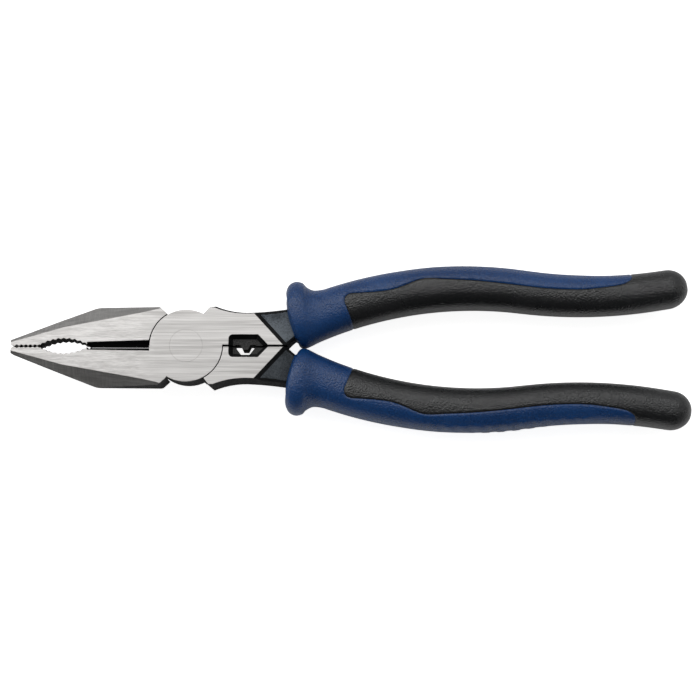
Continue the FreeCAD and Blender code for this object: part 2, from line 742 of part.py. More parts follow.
def add_indenter(body):
    """The nose that presses a terminal into the nest."""
    half_mouth = "size.nest_mouth / 2"
    shoulders = new_sketch(body, "indenter_shoulder_outline", "XY_Plane",
                           at=("size.die_x", "0", "0"))
    outline(shoulders, [
        (f"-{half_mouth}", f"-{BEYOND}"),
        (half_mouth, f"-{BEYOND}"),
        (half_mouth, "size.indenter_setback"),
        (f"-{half_mouth}", "size.indenter_setback"),
    ])
    cut(body, "indenter_shoulders", shoulders, THROUGH, both_ways=True)
    nose = new_sketch(body, "indenter_outline", "XY_Plane", at=("size.die_x", "0", "0"))
    outline(nose, [
        ("-size.indenter_tip / 2", "-size.indenter_reach"),
        ("size.indenter_tip / 2", "-size.indenter_reach"),
        ("size.indenter_base / 2", "size.indenter_setback"),
        ("size.indenter_base / 2", "size.indenter_setback * 2"),
        ("-size.indenter_base / 2", "size.indenter_setback * 2"),
        ("-size.indenter_base / 2", "size.indenter_setback"),
    ])
    grow(body, "indenter", nose, "size.die_thick", both_ways=True)


def cut_nest(body):
    """The die nest that the indenter closes into, and the slope set back beside the disc."""
    relief = shoulder_cutter(body, "shoulder_relief_outline", "size.shoulder_relief")
    deep = extrude(body, "PartDesign::Pocket", "shoulder_relief", relief, FACE)
    deep.Reversed = True
    doc.recompute()
    sketch = new_sketch(body, "nest_outline", "XY_Plane", at=("size.die_x", "0", "0"))
    outline(sketch, [
        ("-size.nest_mouth / 2", f"-{BEYOND}"),
        ("size.nest_mouth / 2", f"-{BEYOND}"),
        ("size.nest_mouth / 2", "0"),
        ("size.nest_floor / 2", "size.nest_depth"),
        ("-size.nest_floor / 2", "size.nest_depth"),
        ("-size.nest_mouth / 2", "0"),
    ])
    cut(body, "nest", sketch, THROUGH, both_ways=True)


def forged_half(label, rivet_clearance, die):
    body = new_body(label)
    forge_handle(body)
    add_joint(body, rivet_clearance)
    taper_jaw(body)
    bevel_jaw(body)
    cut_slot(body)
    cut_pipe_grip(body)
    cut_nose_teeth(body)
    cut_window(body)
    die(body)
    return body


def joint_rivet():
    """One rivet with both countersunk heads ground flush with the faces."""
    body = new_body("joint_rivet")
    sketch = new_sketch(body, "rivet_outline", "XZ_Plane")
    shank_end = f"({FACE} - size.rivet_head_depth)"
    outline(sketch, [
        ("0", f"-{FACE}"),
        ("size.rivet_head_radius", f"-{FACE}"),
        ("size.rivet_radius", f"-{shank_end}"),
        ("size.rivet_radius", shank_end),
        ("size.rivet_head_radius", FACE),
        ("0", FACE),
    ])
    revolve(body, "PartDesign::Revolution", "rivet", sketch)
    return body


# ----------------------------------------------------------------- the grips

def grip_width(x):
    return linear(x, "size.grip_wide", "size.grip_narrow")


def grip_depth(x):
    return linear(x, "size.grip_deep", "size.grip_shallow")


def linear(x, at_bend, at_end):
    share = f"(({x}) - size.bend_x) / (size.tang_end_x - size.bend_x)"
    return f"({at_bend} + ({at_end} - {at_bend}) * {share})"


def along_the_handle():
    """Places on the handle's axis, close enough for smooth grip surfaces."""
    on_the_bow = [on_bow(heading) for heading in ("size.bend_angle", "12", "5", "-1")]
    behind = [on_bow("size.waist_angle"), on_tail("0"), on_tail("size.tang_end_angle")]
    return on_the_bow + behind


def grip_form():
    """The grip's whole outer form: bowed handle, rounded end and front flange."""
    body = new_body("grip_form")
    neck = section(body, "neck", before_bow("size.neck_x"), "size.neck_wide",
                   "size.grip_deep", "size.grip_round")
    handle = [
        section(body, f"grip_{i}", place, grip_width(place[0]), grip_depth(place[0]),
                "size.grip_round")
        for i, place in enumerate(along_the_handle())
    ]
    loft(body, "PartDesign::AdditiveLoft", "handle_form", [neck] + handle + dome(body))
    loft(body, "PartDesign::AdditiveLoft", "flange_form", flange(body) + [neck])
    flat = new_sketch(body, "flange_flat_outline", "XY_Plane")
    front, back = "size.flange_x - 2 * size.flange_front", "size.neck_x + size.flange_front"
    outline(flat, [
        (front, f"-2 * {BEYOND}"),
        (back, f"-2 * {BEYOND}"),
        (back, "size.flange_gap / 2"),
        (front, "size.flange_gap / 2"),
    ])
    cut(body, "flange_flat", flat, "size.flange_deep * 2", both_ways=True)
    return body


DOME_ANGLES = (0, 30, 55, 75)  # from the dome's equator towards its pole


def dome(body):
    """Ever smaller sections that round off the handle's end."""
    sections = []
    for i, angle in enumerate(DOME_ANGLES):
        place = beyond_tail(f"(size.grip_end_x + size.grip_dome * sin({angle}))")
        sections.append(section(
            body, f"dome_{i}", place, f"2 * size.grip_dome * cos({angle})",
            f"size.grip_shallow * cos({angle})", f"size.grip_round * cos({angle})",
        ))
    return sections


# Each ring of the flange: its distance ahead of the widest section as a share of
# flange_front, and its size as a share of that section.
FLANGE_RINGS = ((1.0, 0.76), (0.75, 0.92), (0.3, 1.0), (-0.25, 0.98))


def flange(body):
    """The rounded rim that stops the hand, from its front face backwards."""
    rings = []
    for i, (ahead, share) in enumerate(FLANGE_RINGS):
        forward = f"({ahead} * size.flange_front)"
        place = (
            f"(size.flange_x - {forward} * cos(size.flange_tilt))",
            f"(size.flange_y - {forward} * sin(size.flange_tilt))",
            "size.flange_tilt",
        )
        rings.append(section(
            body, f"flange_{i}", place, f"size.flange_wide * {share}",
            f"size.flange_deep * {share}", f"size.flange_round * {share}",
        ))
    return rings


def liner_form():
    """The core's wall around the tang."""
    body = new_body("liner_form")
    places = [before_bow("size.liner_front")] + along_the_handle()
    places += [beyond_tail("(size.tang_end_x + size.liner_wall)")]
    sections = [
        section(body, f"liner_{i}", place, "2 * (size.tang_half + size.liner_wall)",
                "size.tang_thick + 2 * size.liner_wall", "size.tang_round + size.liner_wall")
        for i, place in enumerate(places)
    ]
    loft(body, "PartDesign::AdditiveLoft", "liner", sections)
    return body


def handle_form():
    """The forged handle alone, which the grip is moulded over."""
    body = new_body("handle_form")
    forge_handle(body)
    return body


def core_region():
    """The part of the grip's form that the harder core fills out to the surface."""
    body = new_body("core_region")
    sketch = new_sketch(body, "core_region_outline", "XY_Plane")
    far_x = f"(size.grip_end_x + size.grip_dome + {BEYOND})"
    far_y = "(size.core_cap_y + size.grip_dome)"
    outline(sketch, [
        ("size.core_root_x", f"-{BEYOND}"),
        ("size.core_front_x", "size.core_front_y"),
        ("size.core_brow_x", "size.core_brow_y", "size.core_brow_round", "right"),
        ("size.core_rise_x", "size.core_rise_y"),
        ("size.core_swell_x", "size.core_swell_y", "size.core_swell_round", "left"),
        ("size.core_peak_x", "size.core_peak_y"),
        ("size.core_fall_x", "size.core_peak_y", "size.core_peak_round", "right"),
        ("size.core_bow_x", "size.core_bow_y"),
        ("size.core_tail_x", "size.core_tail_y", "size.core_bow_round", "left"),
        ("size.core_cap_x", "size.core_cap_y", "size.core_cap_round", "left"),
        ("size.core_cap_x", far_y),
        (far_x, far_y),
        (far_x, f"-{BEYOND}"),
    ])
    grow(body, "core_block", sketch, "size.flange_deep * 2", both_ways=True)
    return body


def combine(kind, label, base, tool):
    result = doc.addObject(kind, label)
    result.Label = label
    result.Base = base
    result.Tool = tool
    doc.recompute()
    return result


def grip_pair(side, forms):
    """The core and the sleeve of one handle."""
    form, liner, handle, region = forms
    filled = combine("Part::Common", f"core_outside_{side}", form, region)
    lined = combine("Part::Fuse", f"core_lined_{side}", filled, liner)
    core = combine("Part::Cut", f"grip_core_{side}", lined, handle)
    outside = combine("Part::Cut", f"sleeve_outside_{side}", form, region)
    hollow = combine("Part::Cut", f"sleeve_hollow_{side}", outside, liner)
    sleeve = combine("Part::Cut", f"grip_sleeve_{side}", hollow, handle)
    return [core, sleeve]


def set_in_place(piece, half_turns):
    """Turn a piece about X if it belongs to the nest half, and raise it."""
    turn = FreeCAD.Rotation(FreeCAD.Vector(1, 0, 0), 180 * half_turns)
    piece.Placement = FreeCAD.Placement(FreeCAD.Vector(0, 0, 0), turn)
    piece.setExpression("Placement.Base.z", FACE)


def build():
    fill_sheet()
    forms = (grip_form(), liner_form(), handle_form(), core_region())
    upright = [forged_half("indenter_half", "size.rivet_clearance", add_indenter)]
    upright += [joint_rivet()]
    upright += grip_pair("upper", forms)
    turned = [forged_half("nest_half", "0", cut_nest)]
    turned += grip_pair("lower", forms)
    for piece in upright:
        set_in_place(piece, 0)
    for piece in turned:
        set_in_place(piece, 1)
    doc.recompute()
    return upright + turned


def check(pieces):
    for item in doc.Objects:
        if {"Invalid", "Error"} & set(item.State):
            raise RuntimeError(f"{item.Label} did not build: {item.State}")
    for piece in pieces:
        if piece.Shape.isNull() or not piece.Shape.isValid():
            raise RuntimeError(f"{piece.Label} has no valid shape")
        if len(piece.Shape.Solids) != 1:
            raise RuntimeError(f"{piece.Label} is {len(piece.Shape.Solids)} solids")


def write(pieces):
    os.makedirs("parts", exist_ok=True)
    for piece in pieces:
        piece.Shape.exportStep(f"parts/{piece.Label}.step")
        box = piece.Shape.BoundBox
        print(f"{piece.Label}: {piece.Shape.Volume:.0f} mm3, "
              f"{box.XLength:.1f} x {box.YLength:.1f} x {box.ZLength:.1f} mm")


parts = build()
check(parts)
write(parts)
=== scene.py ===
import math
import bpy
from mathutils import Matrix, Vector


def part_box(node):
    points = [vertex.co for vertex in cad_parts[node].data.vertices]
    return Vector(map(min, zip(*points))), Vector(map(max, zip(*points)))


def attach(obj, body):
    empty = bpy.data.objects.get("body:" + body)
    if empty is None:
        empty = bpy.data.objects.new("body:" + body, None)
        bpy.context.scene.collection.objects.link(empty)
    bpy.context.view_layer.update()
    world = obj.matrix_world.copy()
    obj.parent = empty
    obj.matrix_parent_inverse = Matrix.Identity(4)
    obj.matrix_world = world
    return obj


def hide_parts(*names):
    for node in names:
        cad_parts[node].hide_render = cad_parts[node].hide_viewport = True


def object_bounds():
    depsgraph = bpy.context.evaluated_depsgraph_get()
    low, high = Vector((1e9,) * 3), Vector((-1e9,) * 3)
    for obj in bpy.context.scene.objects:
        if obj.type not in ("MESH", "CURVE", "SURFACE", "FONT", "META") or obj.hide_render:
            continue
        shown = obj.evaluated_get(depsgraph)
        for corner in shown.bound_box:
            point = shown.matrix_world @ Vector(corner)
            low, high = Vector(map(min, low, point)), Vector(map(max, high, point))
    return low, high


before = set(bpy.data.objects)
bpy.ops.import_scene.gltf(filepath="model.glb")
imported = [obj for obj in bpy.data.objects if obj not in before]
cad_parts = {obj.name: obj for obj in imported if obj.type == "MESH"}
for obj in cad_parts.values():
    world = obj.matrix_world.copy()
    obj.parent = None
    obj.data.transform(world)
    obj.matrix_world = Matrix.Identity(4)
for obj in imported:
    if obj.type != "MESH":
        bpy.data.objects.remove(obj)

from types import SimpleNamespace

import bpy
import numpy as np
from mathutils import Matrix, Vector

MM = 0.001
CAD_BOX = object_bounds()

# Half the head's thickness: the middle plane of the tool lies this far above z = 0.
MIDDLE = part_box("joint_rivet")[1].z / MM / 2


def add_object(name, data):
    made = bpy.data.objects.new(name, data)
    bpy.context.scene.collection.objects.link(made)
    return made


# ------------------------------------------------------------------ node tools

class NodeTree:
    """Nodes written as nested calls, each giving an output socket."""

    def __init__(self, owner):
        self.owner = owner
        owner.use_nodes = True
        self.tree = owner.node_tree

    def node(self, kind, inputs=None, **settings):
        made = self.tree.nodes.new(kind)
        for key, value in settings.items():
            setattr(made, key, value)
        for key, value in (inputs or {}).items():
            self.feed(made.inputs[key], value)
        return made

    def feed(self, socket, value):
        if isinstance(value, bpy.types.NodeSocket):
            self.tree.links.new(value, socket)
        else:
            socket.default_value = value

    def math(self, operation, *values):
        return self.node("ShaderNodeMath", dict(enumerate(values)), operation=operation).outputs[0]

    def dot(self, a, b):
        made = self.node("ShaderNodeVectorMath", {0: a, 1: b}, operation="DOT_PRODUCT")
        return made.outputs["Value"]

    def times(self, a, b):
        return self.math("MULTIPLY", a, b)

    def plus(self, a, b):
        return self.math("ADD", a, b)

    def minus(self, a, b):
        return self.math("SUBTRACT", a, b)

    def larger(self, a, b):
        return self.math("MAXIMUM", a, b)

    def size(self, a):
        return self.math("ABSOLUTE", a)

    def above(self, a, b):
        """1 where a is above b, else 0."""
        return self.math("GREATER_THAN", a, b)

    def below(self, a, b):
        return self.math("LESS_THAN", a, b)


class Shader(NodeTree):
    """The node tree of a new material."""

    def __init__(self, name):
        super().__init__(bpy.data.materials.new(name))
        self.tree.nodes.clear()

    def ramp(self, value, low, high, to_low=0.0, to_high=1.0):
        """A smooth step from to_low at low to to_high at high."""
        made = self.node(
            "ShaderNodeMapRange",
            {"Value": value, "From Min": low, "From Max": high, "To Min": to_low, "To Max": to_high},
            interpolation_type="SMOOTHSTEP",
        )
        return made.outputs["Result"]

    def mix(self, share, a, b):
        """Colours a and b mixed: all b where share is 1."""
        return self.node("ShaderNodeMix", {0: share, 6: a, 7: b}, data_type="RGBA").outputs[2]

    def blend(self, share, a, b):
        """The same for numbers."""
        return self.node("ShaderNodeMix", {0: share, 2: a, 3: b}, data_type="FLOAT").outputs[0]

    def blend_vector(self, share, a, b):
        return self.node("ShaderNodeMix", {0: share, 4: a, 5: b}, data_type="VECTOR").outputs[1]

    def place(self):
        """Position in the object's own frame, the shared frame at rest, in metres."""
        return self.node("ShaderNodeTexCoord").outputs["Object"]

    def split(self, vector):
        return self.node("ShaderNodeSeparateXYZ", {0: vector}).outputs

    def turned(self, vector, kind, source, target):
        made = self.node(
            "ShaderNodeVectorTransform", {0: vector},
            vector_type=kind, convert_from=source, convert_to=target,
        )
        return made.outputs[0]

    def noise(self, scale, detail=3.0, roughness=0.5, vector=None):
        made = self.node(
            "ShaderNodeTexNoise",
            {"Vector": vector or self.place(), "Scale": scale, "Detail": detail,
             "Roughness": roughness},
        )
        return made.outputs["Fac"]

    def streaks(self, per_metre, detail, roughness):
        """Noise drawn out into lines: how often it changes along X, Y and Z."""
        made = self.node("ShaderNodeMapping", {"Vector": self.place(), "Scale": per_metre})
        return self.noise(1.0, detail, roughness, made.outputs[0])

    def finish(self, **inputs):
        surface = self.node("ShaderNodeBsdfPrincipled")
        for key, value in inputs.items():
            self.feed(surface.inputs[key.replace("_", " ")], value)
        self.node("ShaderNodeOutputMaterial", {"Surface": surface.outputs[0]})
        return self.owner


def grey(value, warmth=0.0):
    return (value * (1 + warmth), value, value * (1 - warmth), 1.0)


# ----------------------------------------------------------------------- steel
# Places are millimetres from the pivot.  The nose is at -X, the handles at +X.

CREASE_X = 11.9               # how far ahead of the pivot the jaws start to thin
JAW_SLOPE = 3.0 / 44.3        # how fast each face of the jaws falls beyond the crease
GROUND_SKIN = 0.15            # a face this little below the nominal one is ground too
JAW_X, NOSE_X = -8.0, -44.0   # the jaws' bevels start, the knives' slot is well past
BESIDE_SLOT = 2.0             # the side bevels lie further out than this
SLOT_END_X, SLOT_HALF = -31.6, 1.75
# Half the width of the painted highlight line where the two knives' edges meet.
KNIFE_HIGHLIGHT_HALF = 0.16
RIVET_HALF = 5.5              # half the square patch that holds the rivet's head
JOINT_RADIUS = 7.0            # edges are left sharp nearer to the rivet than this
DIE_X, STEP_X = 12.0, 20.0    # where the crimping die and the step to the tang start
SUNK_HEIGHT = 4.3             # the die's floors lie nearer to the middle plane than this

# How a forging's surface is broken up.  Frequencies are per metre, along X, Y and Z
# where there are three.
LINES_ALONG, LINES_ACROSS, LINES_BROAD = (60, 5200, 5200), (5200, 90, 90), (22, 1100, 1100)
LINE_CONTRAST, LINE_RANGE = 0.40, 0.16
GRAIN, SCALE_CLOUDS = 2600.0, 160.0
RELIEF = 0.05                 # of the grain and, at a quarter, of the lines
EDGE_REACH = 0.16             # of the wear and of the softened edges
EDGE_FACING = (0.995, 0.90)   # how far the softened normal has turned: unworn, worn
WEAR_PATCHES, WEAR_RANGE, WEAR = 420.0, (0.46, 0.66), 0.6
ROUGH_GROUND, ROUGH_OXIDE = (0.27, 0.42), (0.5, 0.8)

# Upward share of the normal on flat faces, on the tang's floor and on the bevels.
LEVEL, TANG_LEVEL = 0.97, 0.93
BEVEL_LEVEL = (0.72, 0.82)

# The dark and the light lines of each finish.
FLAT_TONES = (grey(0.432, 0.028), grey(0.744, 0.020))
BEVEL_TONES = (grey(0.30, 0.02), grey(0.50, 0.02))
SCALE_TONES = (grey(0.008, -0.05), grey(0.018, -0.04))
DIE_TONES = (grey(0.03), grey(0.09))
KNIFE_AND_HIGHLIGHT_TONES = (grey(0.03), grey(0.22))    # the knives' sides, and a painted highlight along the line where their edges meet
WORN_TONE = grey(0.14)
# Painted light: the upper half's tang gets a lighter tone and the lower half's a darker one, as lit
# and shaded copies of the same forged steel.
LIT_TANG_TONE, SHADED_TANG_TONE = 0.15, 0.07


def steel_areas(s, true_normal):
    """Where each finish lies on a forging, as sockets that hold 0 or 1."""
    x, y, z = s.split(s.place())
    side = s.size(y)
    height = s.size(s.minus(z, MIDDLE * MM))
    up = s.size(s.split(s.turned(true_normal, "NORMAL", "WORLD", "OBJECT"))[2])

    # The ground face falls away from the crease towards the tip.
    past_crease = s.larger(s.minus(s.times(x, -1.0), CREASE_X * MM), 0.0)
    face = s.minus((MIDDLE - GROUND_SKIN) * MM, s.times(past_crease, JAW_SLOPE))
    level = s.above(up, LEVEL)
    flat = s.times(level, s.above(height, face))

    on_jaw = s.below(x, JAW_X * MM)
    sloping = s.times(s.above(up, BEVEL_LEVEL[0]), s.below(up, BEVEL_LEVEL[1]))
    clear_of_slot = s.larger(s.above(side, BESIDE_SLOT * MM), s.below(x, NOSE_X * MM))
    bevel = s.times(s.times(sloping, on_jaw), clear_of_slot)

    on_rivet = s.times(s.below(s.size(x), RIVET_HALF * MM), s.below(side, RIVET_HALF * MM))
    in_slot = s.times(s.above(x, SLOT_END_X * MM), s.below(side, SLOT_HALF * MM))
    on_step = s.times(s.above(x, STEP_X * MM), s.above(height, SUNK_HEIGHT * MM))
    in_die = s.times(s.above(x, DIE_X * MM), s.below(height, SUNK_HEIGHT * MM))
    from_pivot = s.math("SQRT", s.plus(s.times(x, x), s.times(y, y)))
    return SimpleNamespace(
        bevel=bevel,
        ground=s.larger(s.larger(flat, bevel), on_rivet),
        knife=s.times(s.times(in_slot, on_jaw), s.minus(1.0, level)),
        # A thin painted highlight where the two knives' edges meet.
        knife_edge_highlight=s.below(side, KNIFE_HIGHLIGHT_HALF * MM),
        tang=s.times(on_step, s.above(up, TANG_LEVEL)),
        die_floor=s.times(in_die, level),
        off_rivet=s.above(from_pivot, JOINT_RADIUS * MM),
    )


def grinding(s, bevel):
    """Grinding lines, along the tool on the flats and across it on the bevels.

    Gives the fine lines' height and their colour.
    """
    along = s.streaks(LINES_ALONG, 2.0, 0.7)
    across = s.streaks(LINES_ACROSS, 2.0, 0.7)
    lines = s.blend(bevel, along, across)
    broad = s.streaks(LINES_BROAD, 3.0, 0.6)
    shade = s.plus(
        s.times(s.minus(lines, 0.5), LINE_CONTRAST), s.times(s.minus(broad, 0.5), LINE_CONTRAST)
    )
    share = s.ramp(shade, -LINE_RANGE, LINE_RANGE)
    return lines, s.mix(bevel, s.mix(share, *FLAT_TONES), s.mix(share, *BEVEL_TONES))


def black_finish(s, area, grain, tang_painted_light_tone):
    """Colour of everything that isn't ground: scale, tang, die floor and knives, with a painted
    highlight along the knives' meeting edges.
    """
    cloud = s.noise(SCALE_CLOUDS)
    scale = s.mix(s.ramp(cloud, 0.35, 0.65), *SCALE_TONES)
    speckle = s.ramp(s.plus(s.times(cloud, 0.5), s.times(grain, 0.5)), 0.38, 0.62)
    # The tang's tone is painted light: lighter on the upper half, darker on the lower.
    forged = s.mix(speckle, grey(tang_painted_light_tone * 0.5, -0.15), grey(tang_painted_light_tone * 1.5, -0.12))
    die_floor = s.mix(s.ramp(grain, 0.35, 0.65), *DIE_TONES)
    recess = s.mix(area.tang, s.mix(area.die_floor, scale, die_floor), forged)
    return s.mix(area.knife, recess, s.mix(area.knife_edge_highlight, *KNIFE_AND_HIGHLIGHT_TONES))


def grinding_direction(s, bevel):
    """X on the flats, Y on the bevels."""
    direction = s.mix(bevel, (1.0, 0.0, 0.0, 1.0), (0.0, 1.0, 0.0, 1.0))
    return s.turned(direction, "VECTOR", "OBJECT", "WORLD")


def steel(name, tang_painted_light_tone):
    """Ground flats and bevels, black oxide in every recess and on the forged tangs; the tangs' tone
    is painted light, lighter on the upper half and darker on the lower.
    """
    s = Shader(name)
    true_normal = s.node("ShaderNodeNewGeometry").outputs["True Normal"]
    area = steel_areas(s, true_normal)
    lines, ground_colour = grinding(s, area.bevel)
    grain = s.noise(GRAIN, 4.0, 0.6)

    # Edges are worn through the black finish in patches.
    rounded = s.node("ShaderNodeBevel", {"Radius": EDGE_REACH * MM}, samples=4).outputs[0]
    edge = s.ramp(s.dot(rounded, true_normal), *EDGE_FACING)
    wear = s.times(edge, s.ramp(s.noise(WEAR_PATCHES), *WEAR_RANGE))
    oxide = s.mix(s.times(wear, WEAR), black_finish(s, area, grain, tang_painted_light_tone), WORN_TONE)

    relief = s.blend(
        area.ground, s.times(grain, s.blend(area.tang, 0.25, 1.0)), s.times(lines, 0.25)
    )
    # The rivet's fine joint keeps its sharp edges.
    bump = s.node(
        "ShaderNodeBump",
        {"Height": relief, "Distance": RELIEF * MM, "Strength": 0.5,
         "Normal": s.blend_vector(area.off_rivet, true_normal, rounded)},
    )
    return s.finish(
        Base_Color=s.mix(area.ground, oxide, ground_colour),
        Roughness=s.blend(
            area.ground,
            s.ramp(grain, 0.3, 0.7, *ROUGH_OXIDE),
            s.ramp(lines, 0.2, 0.8, *ROUGH_GROUND),
        ),
        Normal=bump.outputs[0],
        Metallic=area.ground,
        Specular_IOR_Level=0.15,
        Anisotropic=s.times(area.ground, 0.5),
        Tangent=grinding_direction(s, area.bevel),
    )


def finish_forgings():
    # The two halves differ only in the tang's painted lit and shaded tone.
    light = steel("steel_indenter_half", LIT_TANG_TONE)
    dark = steel("steel_nest_half", SHADED_TANG_TONE)
    for node, material in {"indenter_half": light, "nest_half": dark, "joint_rivet": light}.items():
        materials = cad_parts[node].data.materials
        materials.clear()
        materials.append(material)


# ----------------------------------------------------------------------- vinyl

PEBBLES, FINE_GRAIN, CLOUDS = 2300.0, 2600.0, 55.0    # per metre
GRAIN_DEPTH, GRAIN_STRENGTH = 0.26, 0.8


def vinyl(name, deep, light, roughness, shine):
    """Moulded vinyl with a fine pebble grain."""
    s = Shader(name)
    pebble = s.node(
        "ShaderNodeTexVoronoi", {"Vector": s.place(), "Scale": PEBBLES, "Randomness": 1.0},
        feature="SMOOTH_F1",
    ).outputs["Distance"]
    fine = s.noise(FINE_GRAIN, 3.0, 0.6)
    cloud = s.noise(CLOUDS, 4.0, 0.55)
    patches = s.plus(s.times(cloud, 0.4), s.times(fine, 0.6))
    relief = s.plus(s.times(pebble, 0.8), s.times(fine, 0.35))
    bump = s.node(
        "ShaderNodeBump",
        {"Height": relief, "Distance": GRAIN_DEPTH * MM, "Strength": GRAIN_STRENGTH},
    )
    return s.finish(
        Base_Color=s.mix(s.ramp(patches, 0.36, 0.64), deep, light),
        Roughness=s.ramp(cloud, 0.3, 0.7, roughness - 0.04, roughness + 0.05),
        Normal=bump.outputs[0],
        Specular_IOR_Level=shine,
    )


def blue_vinyl():
    return vinyl("blue_vinyl", (0.002, 0.032, 0.128, 1), (0.006, 0.062, 0.222, 1), 0.27, 0.60)


def black_vinyl():
    return vinyl("black_vinyl", (0.003, 0.004, 0.005, 1), (0.008, 0.009, 0.010, 1), 0.27, 0.80)


# ------------------------------------------------------------- the grip's axis
# Lengths are millimetres in the plane of the tool, measured from the pivot, for the
# upper grip.  The lower grip is the same shape turned half a turn about X.

BEND = (48.0, 12.65)                 # start of the handle's bow
BEND_HEADING = 18.8                  # degrees
WAIST_X, WAIST_HEADING = 107.3, -7.5
TAIL_X, TAIL_HEADING = 150.0, 8.7


def sine(angle):
    return math.sin(math.radians(angle))


def cosine(angle):
    return math.cos(math.radians(angle))


BOW_RADIUS = (WAIST_X - BEND[0]) / (sine(BEND_HEADING) - sine(WAIST_HEADING))
TAIL_RADIUS = (TAIL_X - WAIST_X) / (sine(TAIL_HEADING) - sine(WAIST_HEADING))
WAIST_Y = BEND[1] + BOW_RADIUS * (cosine(WAIST_HEADING) - cosine(BEND_HEADING))


def axis_at(x):
    """The handle's axis where it passes x: (y, heading in degrees)."""
    if x <= BEND[0]:
        return BEND[1] - (BEND[0] - x) * math.tan(math.radians(BEND_HEADING)), BEND_HEADING
    if x <= WAIST_X:
        heading = math.degrees(math.asin(sine(BEND_HEADING) - (x - BEND[0]) / BOW_RADIUS))
        return BEND[1] + BOW_RADIUS * (cosine(heading) - cosine(BEND_HEADING)), heading
    reach = min(x, TAIL_X)
    heading = math.degrees(math.asin(sine(WAIST_HEADING) + (reach - WAIST_X) / TAIL_RADIUS))
    y = WAIST_Y + TAIL_RADIUS * (cosine(WAIST_HEADING) - cosine(heading))
    return y + max(x - TAIL_X, 0) * math.tan(math.radians(heading)), heading


# --------------------------------------------------------- the grip's sections
# A section is (outer x, outer y, inner x, inner y, half depth, bow): the two ends of
# its width, half its depth along Z, and how far its middle bows towards the nose.

FLANGE = (
    (31.60, 16.30, 35.60, 1.75, 8.1, 0.55),
    (31.40, 18.20, 35.65, 1.15, 8.8, 0.55),
    (32.40, 20.40, 36.00, 0.60, 9.3, 0.45),
    (34.40, 21.45, 36.70, 0.20, 9.5, 0.30),
    (36.60, 21.05, 38.00, 0.25, 9.3, 0.15),
    (37.90, 19.75, 39.60, 0.95, 8.75, 0.05),
    (40.10, 18.70, 42.20, 2.25, 8.2, 0.0),
    (43.00, 18.95, 46.20, 3.95, 8.0, 0.0),
)
HALF_WIDTH, HALF_DEPTH = (7.5, 6.25), (8.0, 6.7)    # behind the flange: at BEND, at TAIL_X
SECTIONS = 24                       # from BEND to END_X
END_X, DOME = TAIL_X + 3.9, 6.4     # where the rounded end starts, and its length
DOME_ANGLES = (12, 24, 36, 48, 60, 71, 81, 90)
DOME_TIP = 0.015                    # share of the section that is left at the very end

# The hole that the tang fills.
HOLE = (32.22, 12.25, 34.80, 2.72, 5.12, 0.45)    # where it opens in the flange's front
TANG_HALF, TANG_DEEP = 3.75, 5.1
TANG_START, TANG_END = 46.0, 151.0
TANG_CLOSE, TANG_STEP = 1.5, 0.5    # where the hole starts to close, spacing of its end
TANG_TIP = 0.02

AROUND, PER_SPAN = 112, 8           # points around a section, rings between two sections
GRIP_SQUARE, HOLE_SQUARE = 2.45, 8.0    # 2 is an ellipse, more is squarer
TOUCH = 0.10                        # gap from the flange to the plane between the handles

# The front face runs from the hole to the flange's rim and is dished a little.
FRONT_SHARES = (0.0, 0.06, 0.16, 0.32, 0.55, 0.8)
FRONT_DISH, FRONT_PUSH = 0.45, 0.25


def across_axis(x, half):
    """Outer and inner side of a section of the given half width at x on the axis."""
    y, heading = axis_at(x)
    dx, dy = half * sine(heading), half * cosine(heading)
    return x - dx, y + dy, x + dx, y - dy


def taper(x, at_bend, at_tail):
    return at_bend + (at_tail - at_bend) * (x - BEND[0]) / (TAIL_X - BEND[0])


def handle_section(x, share=1.0):
    """The outside at x, with its size times share."""
    sized_at = min(x, END_X)
    half_width = taper(sized_at, *HALF_WIDTH) * share
    half_depth = taper(sized_at, *HALF_DEPTH) * share
    return across_axis(x, half_width) + (half_depth, 0.0)


def tang_section(x, share=1.0):
    return across_axis(x, TANG_HALF * share) + (TANG_DEEP * share, 0.0)


def handle_profile():
    """Sections of the outside from the flange's rim to the end."""
    rows = list(FLANGE)
    rows += [handle_section(x) for x in np.linspace(BEND[0], END_X, SECTIONS)]
    for angle in DOME_ANGLES:
        rows.append(handle_section(END_X + DOME * sine(angle), max(cosine(angle), DOME_TIP)))
    return rows


def tang_profile(rows):
    """Sections of the hole inside that go with the given sections of the outside."""
    closing = len(DOME_ANGLES) + 1
    start = tang_section(TANG_START)
    inner = []
    for i, row in enumerate(rows):
        x = (row[0] + row[2]) / 2
        left = len(rows) - i
        if i < len(FLANGE):
            share = (i + 1) / (len(FLANGE) + 1)
            inner.append(tuple(a + (b - a) * share for a, b in zip(HOLE, start)))
        elif x < TANG_END - TANG_CLOSE:
            inner.append(tang_section(x))
        else:
            share = max(TANG_TIP, (left - 1) / closing) if left < closing else 1.0
            inner.append(tang_section(TANG_END - TANG_STEP / left, share))
    return inner


def smooth_curve(points, per_span):
    """Catmull-Rom curve through points (rows), sampled per_span times in each span."""
    p = np.asarray(points, float)
    p = np.vstack([2 * p[0] - p[1], p, 2 * p[-1] - p[-2]])
    t = np.linspace(0, 1, per_span, endpoint=False)[:, None]
    rows = []
    for a, b, c, d in zip(p[:-3], p[1:-2], p[2:-1], p[3:]):
        rows.append(0.5 * (2 * b + (c - a) * t + (2 * a - 5 * b + 4 * c - d) * t**2
                           + (3 * b - a - 3 * c + d) * t**3))
    rows.append(p[-2:-1])
    return np.vstack(rows)


